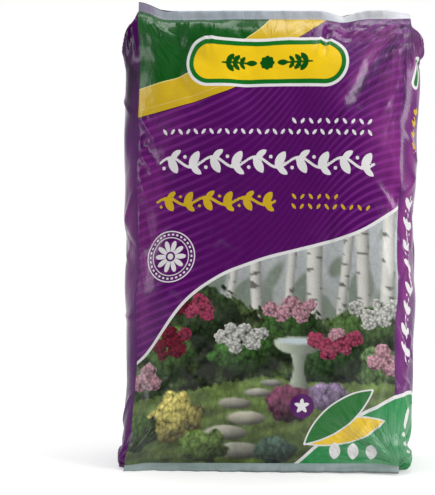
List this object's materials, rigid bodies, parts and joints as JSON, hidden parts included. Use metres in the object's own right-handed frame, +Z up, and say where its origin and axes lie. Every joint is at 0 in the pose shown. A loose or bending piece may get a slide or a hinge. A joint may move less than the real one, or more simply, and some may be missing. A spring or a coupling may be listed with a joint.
{
  "type": "compost bag",
  "caption": "Full, heat-sealed film sack of potting compost with side gussets, standing upright on its base, with flat welded strips along its top and its front bottom edge.",
  "frame": {"origin": "middle of the bounding box in X and Y, at the height of the floor that the base rests on", "axes": "+Z up the standing sack towards its top weld, +X along the welds to the sack's left hand, which is the viewer's right, -Y out of the printed front panel"},
  "size_m": [0.4238, 0.1718, 0.6531],
  "materials": {
    "printed_film": "glossy printed polyethylene film, creased over a loose filling"
  },
  "bodies": {
    "root": {"bag": "printed_film"}
  },
  "joints": []
}
